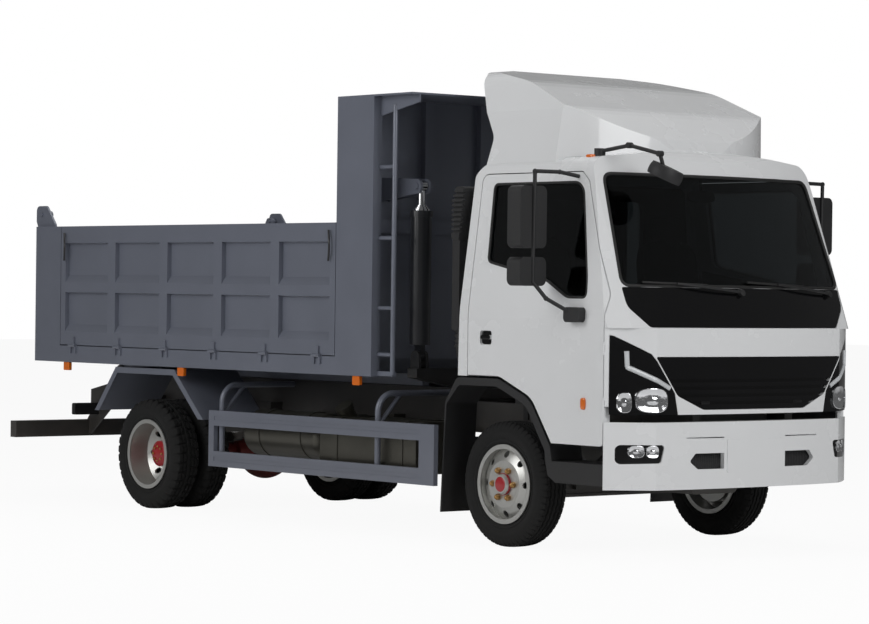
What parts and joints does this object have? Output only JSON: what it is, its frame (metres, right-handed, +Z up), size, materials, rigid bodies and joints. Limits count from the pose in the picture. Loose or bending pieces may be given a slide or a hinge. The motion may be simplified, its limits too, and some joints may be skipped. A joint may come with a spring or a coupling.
{
  "type": "dump truck",
  "caption": "Cab-over dump truck with twin rear wheels, a hoisted steel bed with drop sides and a top-hung tailgate, tilting cab, roof deflector and side guards.",
  "frame": {"origin": "on the ground under the middle of the overall length and width", "axes": "+X forwards, +Y to the truck's left, +Z up"},
  "size_m": [6.75, 2.7, 2.991],
  "materials": {
    "paint_white": "gloss",
    "paint_grey": "semi-gloss",
    "paint_red": "semi-gloss",
    "frame_black": "satin",
    "black_plastic": "matte",
    "gloss_black": "gloss",
    "tank_metal": "metallic",
    "wheel_silver": "satin silver",
    "tyre_rubber": "matte",
    "glass": "clear",
    "lamp_clear": "clear lens",
    "lamp_amber": "amber lens",
    "lamp_red": "red lens",
    "hoist_black": "semi-gloss",
    "hoist_chrome": "polished",
    "seat_fabric": "woven"
  },
  "bodies": {
    "chassis": {"frame_rails": "frame_black", "subframe": "frame_black", "driveline": "frame_black", "front_axle": "frame_black", "rear_axle": "paint_red", "leaf_springs": "frame_black", "fuel_tank": "tank_metal", "air_tank": "tank_metal", "side_guards": "paint_grey", "rear_mudguards": "paint_grey", "front_mudguards": "black_plastic", "underrun_bar": "frame_black", "tail_lamps": "lamp_red", "bumper": "paint_white", "fog_lamps": "lamp_clear", "air_intake": "black_plastic"},
    "cab": {"cab_shell": "paint_white", "cab_glass": "glass", "cowl_panel": "gloss_black", "grille": "gloss_black", "headlamps": "lamp_clear", "roof_deflector": "paint_white", "front_mirror": "black_plastic", "seats": "seat_fabric", "dashboard": "black_plastic"},
    "door_left": {"door_left": "paint_white", "door_glass_left": "glass", "mirror_left": "black_plastic"},
    "door_right": {"door_right": "paint_white", "door_glass_right": "glass", "mirror_right": "black_plastic"},
    "bed": {"bed_floor": "paint_grey", "headboard": "paint_grey", "rear_posts": "paint_grey", "marker_lamps": "lamp_amber"},
    "tailgate": {"tailgate": "paint_grey"},
    "drop_side_left": {"drop_side_left": "paint_grey"},
    "drop_side_right": {"drop_side_right": "paint_grey"},
    "hoist_barrels": {"hoist_barrels": "hoist_black"},
    "hoist_stage_1": {"hoist_stage_1": "hoist_chrome"},
    "hoist_stage_2": {"hoist_stage_2": "hoist_chrome"},
    "hoist_stage_3": {"hoist_stage_3": "hoist_chrome"},
    "hoist_rods": {"hoist_rods": "hoist_chrome"},
    "knuckle_left": {"knuckle_left": "frame_black"},
    "knuckle_right": {"knuckle_right": "frame_black"},
    "tie_rod": {"tie_rod": "frame_black"},
    "wheel_front_left": {"rim_front_left": "wheel_silver", "tyre_front_left": "tyre_rubber"},
    "wheel_front_right": {"rim_front_right": "wheel_silver", "tyre_front_right": "tyre_rubber"},
    "wheel_rear_left": {"rim_rear_left": "wheel_silver", "tyre_rear_left": "tyre_rubber"},
    "wheel_rear_right": {"rim_rear_right": "wheel_silver", "tyre_rear_right": "tyre_rubber"}
  },
  "joints": [
    {"name": "cab_tilt", "type": "hinge", "parent": "chassis", "child": "cab", "pos_m": [3.309, 0, 0.9], "axis": [0, 1, 0], "range_deg": [0, 45]},
    {"name": "door_left_hinge", "type": "hinge", "parent": "cab", "child": "door_left", "pos_m": [3.132, 1.04, 1.085], "axis": [0, 0, -1], "range_deg": [0, 70]},
    {"name": "door_right_hinge", "type": "hinge", "parent": "cab", "child": "door_right", "pos_m": [3.132, -1.04, 1.085], "axis": [0, 0, 1], "range_deg": [0, 70]},
    {"name": "bed_tilt", "type": "hinge", "parent": "chassis", "child": "bed", "pos_m": [-2.905, 0, 0.94], "axis": [0, -1, 0], "range_deg": [0, 45]},
    {"name": "tailgate_hinge", "type": "hinge", "parent": "bed", "child": "tailgate", "pos_m": [-2.975, 0, 2.105], "axis": [0, 1, 0], "range_deg": [0, 90]},
    {"name": "drop_side_left_hinge", "type": "hinge", "parent": "bed", "child": "drop_side_left", "pos_m": [-1.01, 1.134, 1.143], "axis": [-1, 0, 0], "range_deg": [0, 170]},
    {"name": "drop_side_right_hinge", "type": "hinge", "parent": "bed", "child": "drop_side_right", "pos_m": [-1.01, -1.134, 1.143], "axis": [1, 0, 0], "range_deg": [0, 170]},
    {"name": "hoist_tilt", "type": "hinge", "parent": "chassis", "child": "hoist_barrels", "pos_m": [1.147, 0, 1.151], "axis": [0, -1, 0], "range_deg": [0, 31]},
    {"name": "steer_left", "type": "hinge", "parent": "chassis", "child": "knuckle_left", "pos_m": [2.175, 0.73, 0.39], "axis": [0, 0, 1], "range_deg": [-35, 35]},
    {"name": "steer_right", "type": "hinge", "parent": "chassis", "child": "knuckle_right", "pos_m": [2.175, -0.73, 0.39], "axis": [0, 0, 1], "range_deg": [-35, 35]},
    {"name": "tie_rod_slide", "type": "slide", "parent": "chassis", "child": "tie_rod", "axis": [0, 1, 0], "range_m": [-0.1, 0.1]},
    {"name": "wheel_front_left_spin", "type": "hinge", "parent": "knuckle_left", "child": "wheel_front_left", "pos_m": [2.175, 0.885, 0.39], "axis": [0, 1, 0], "continuous": true},
    {"name": "wheel_front_right_spin", "type": "hinge", "parent": "knuckle_right", "child": "wheel_front_right", "pos_m": [2.175, -0.885, 0.39], "axis": [0, 1, 0], "continuous": true},
    {"name": "wheel_rear_left_spin", "type": "hinge", "parent": "chassis", "child": "wheel_rear_left", "pos_m": [-1.625, 0.815, 0.39], "axis": [0, 1, 0], "continuous": true},
    {"name": "wheel_rear_right_spin", "type": "hinge", "parent": "chassis", "child": "wheel_rear_right", "pos_m": [-1.625, -0.815, 0.39], "axis": [0, 1, 0], "continuous": true},
    {"name": "hoist_stage_1_slide", "type": "slide", "parent": "hoist_barrels", "child": "hoist_stage_1", "axis": [0, 0, 1], "range_m": [0, 0.77]},
    {"name": "hoist_stage_2_slide", "type": "slide", "parent": "hoist_stage_1", "child": "hoist_stage_2", "axis": [0, 0, 1], "range_m": [0, 0.77]},
    {"name": "hoist_stage_3_slide", "type": "slide", "parent": "hoist_stage_2", "child": "hoist_stage_3", "axis": [0, 0, 1], "range_m": [0, 0.77]},
    {"name": "hoist_rods_slide", "type": "slide", "parent": "hoist_stage_3", "child": "hoist_rods", "axis": [0, 0, 1], "range_m": [0, 0.77]}
  ],
  "couplings": [
    {"joint": "hoist_tilt", "follows": "bed_tilt", "ratio": 0.67899},
    {"joint": "hoist_stage_1_slide", "follows": "bed_tilt", "m_per_rad": 0.97355},
    {"joint": "hoist_stage_2_slide", "follows": "bed_tilt", "m_per_rad": 0.97355},
    {"joint": "hoist_stage_3_slide", "follows": "bed_tilt", "m_per_rad": 0.97355},
    {"joint": "hoist_rods_slide", "follows": "bed_tilt", "m_per_rad": 0.97355},
    {"joint": "steer_right", "follows": "steer_left", "ratio": 1},
    {"joint": "tie_rod_slide", "follows": "steer_left", "m_per_rad": -0.15962}
  ]
}
